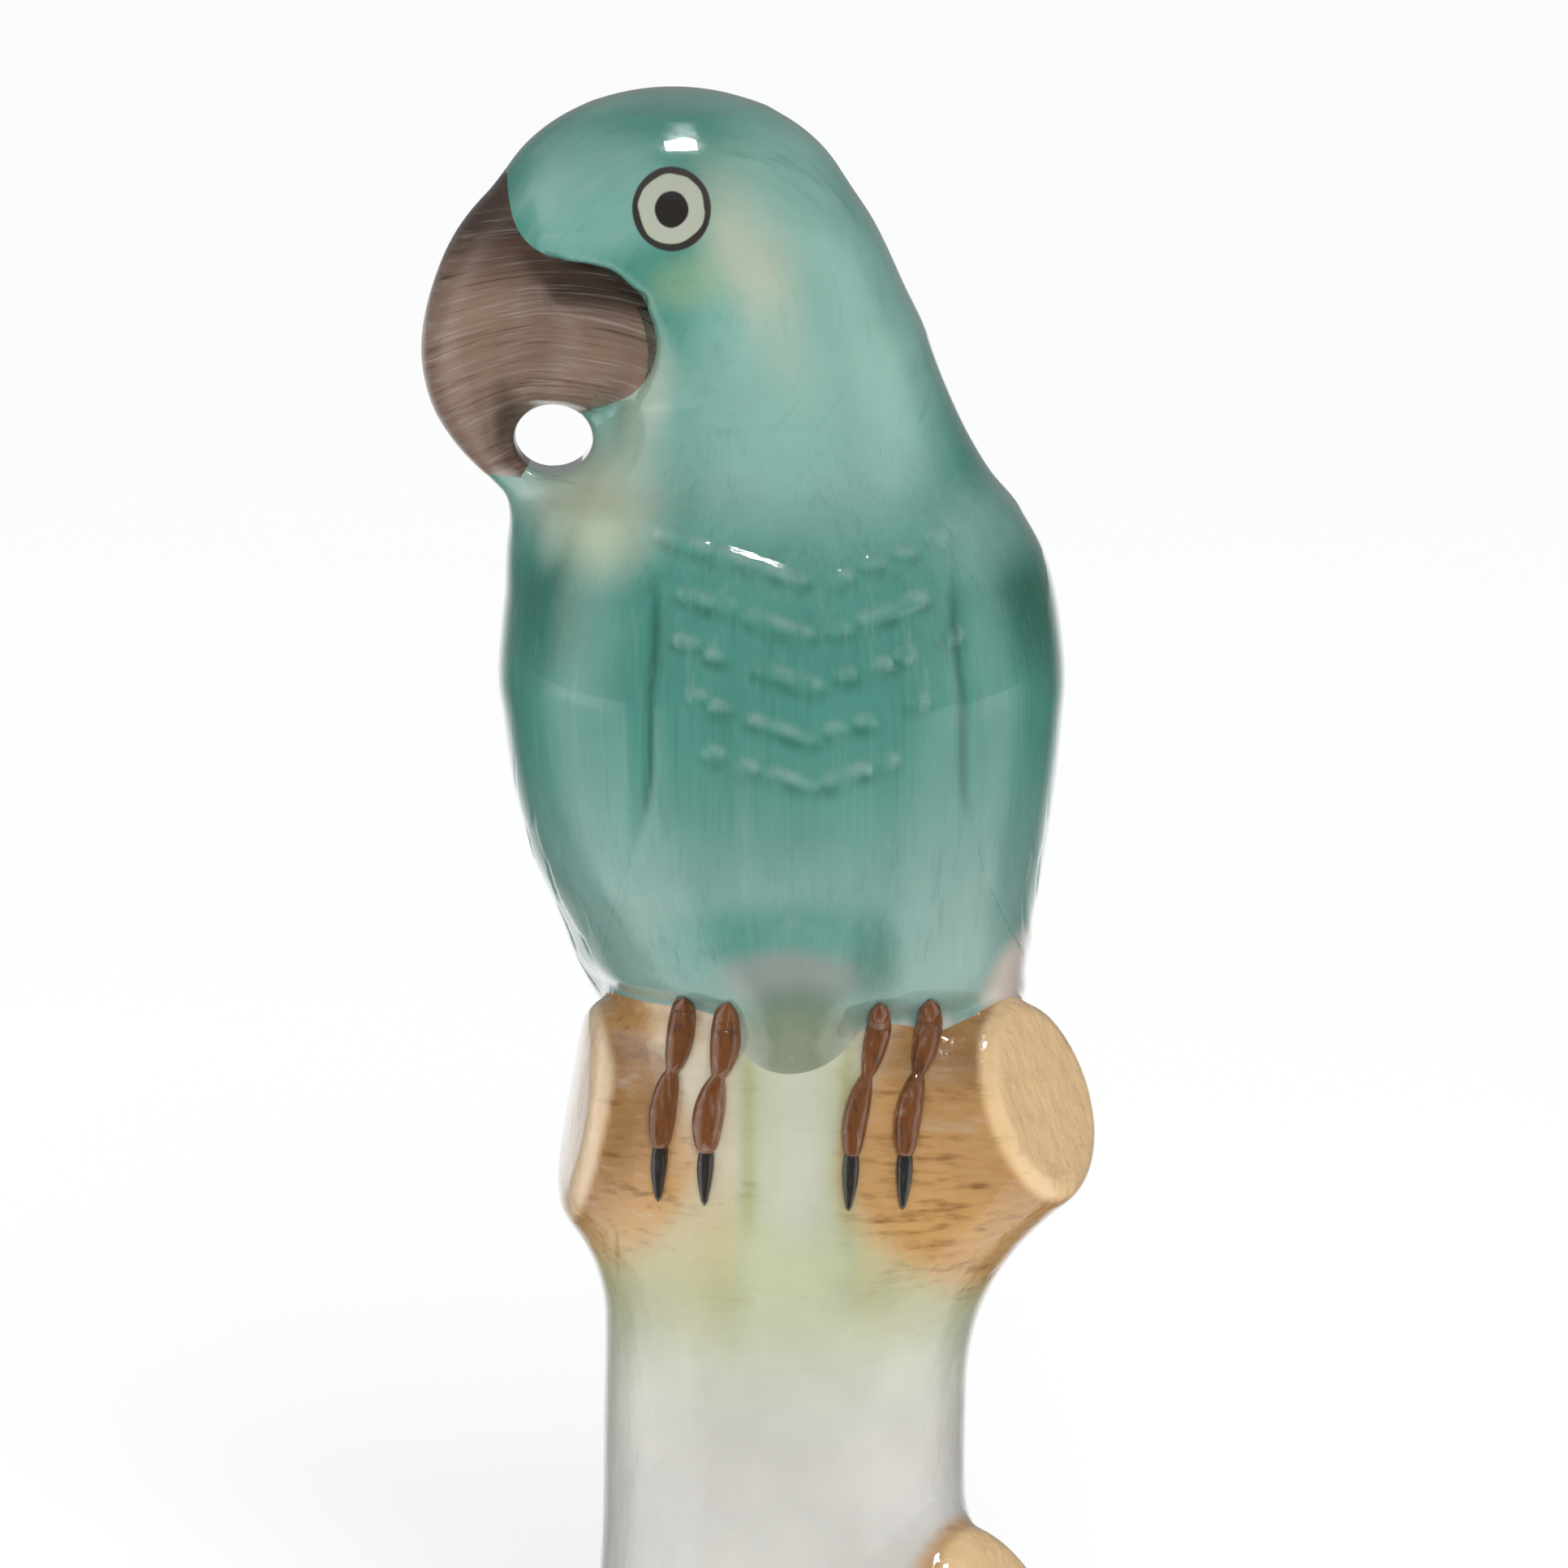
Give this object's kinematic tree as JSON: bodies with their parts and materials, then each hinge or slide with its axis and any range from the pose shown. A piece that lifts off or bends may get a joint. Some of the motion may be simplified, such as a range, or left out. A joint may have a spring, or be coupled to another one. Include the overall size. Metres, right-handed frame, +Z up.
{
  "type": "porcelain figurine",
  "caption": "Hand-painted glazed porcelain parrot perched on a white tree trunk with sawn branch stubs, head turned in profile, on a low oval base.",
  "frame": {"origin": "centre of the base's underside, on the foot ring's plane", "axes": "+Z up along the trunk; the breast faces -Y; the beak points to -X"},
  "size_m": [0.054, 0.05, 0.132],
  "materials": {
    "white_glaze": "clear gloss glaze over painted colour",
    "bark_glaze": "clear gloss glaze over painted colour",
    "teal_glaze": "clear gloss glaze over painted colour",
    "beak_glaze": "clear gloss glaze over painted colour",
    "toe_glaze": "clear gloss glaze over painted colour",
    "claw_glaze": "clear gloss glaze over painted colour"
  },
  "bodies": {
    "root": {"base_mound": "white_glaze", "trunk": "white_glaze", "right_perch_stub": "bark_glaze", "left_perch_stub": "bark_glaze", "lower_stub": "bark_glaze", "torso": "teal_glaze", "head": "teal_glaze", "left_wing": "teal_glaze", "right_wing": "teal_glaze", "tail": "teal_glaze", "upper_beak": "beak_glaze", "lower_beak": "beak_glaze", "left_outer_toe": "toe_glaze", "left_outer_claw": "claw_glaze", "left_inner_toe": "toe_glaze", "left_inner_claw": "claw_glaze", "right_outer_toe": "toe_glaze", "right_outer_claw": "claw_glaze", "right_inner_toe": "toe_glaze", "right_inner_claw": "claw_glaze"}
  },
  "joints": []
}
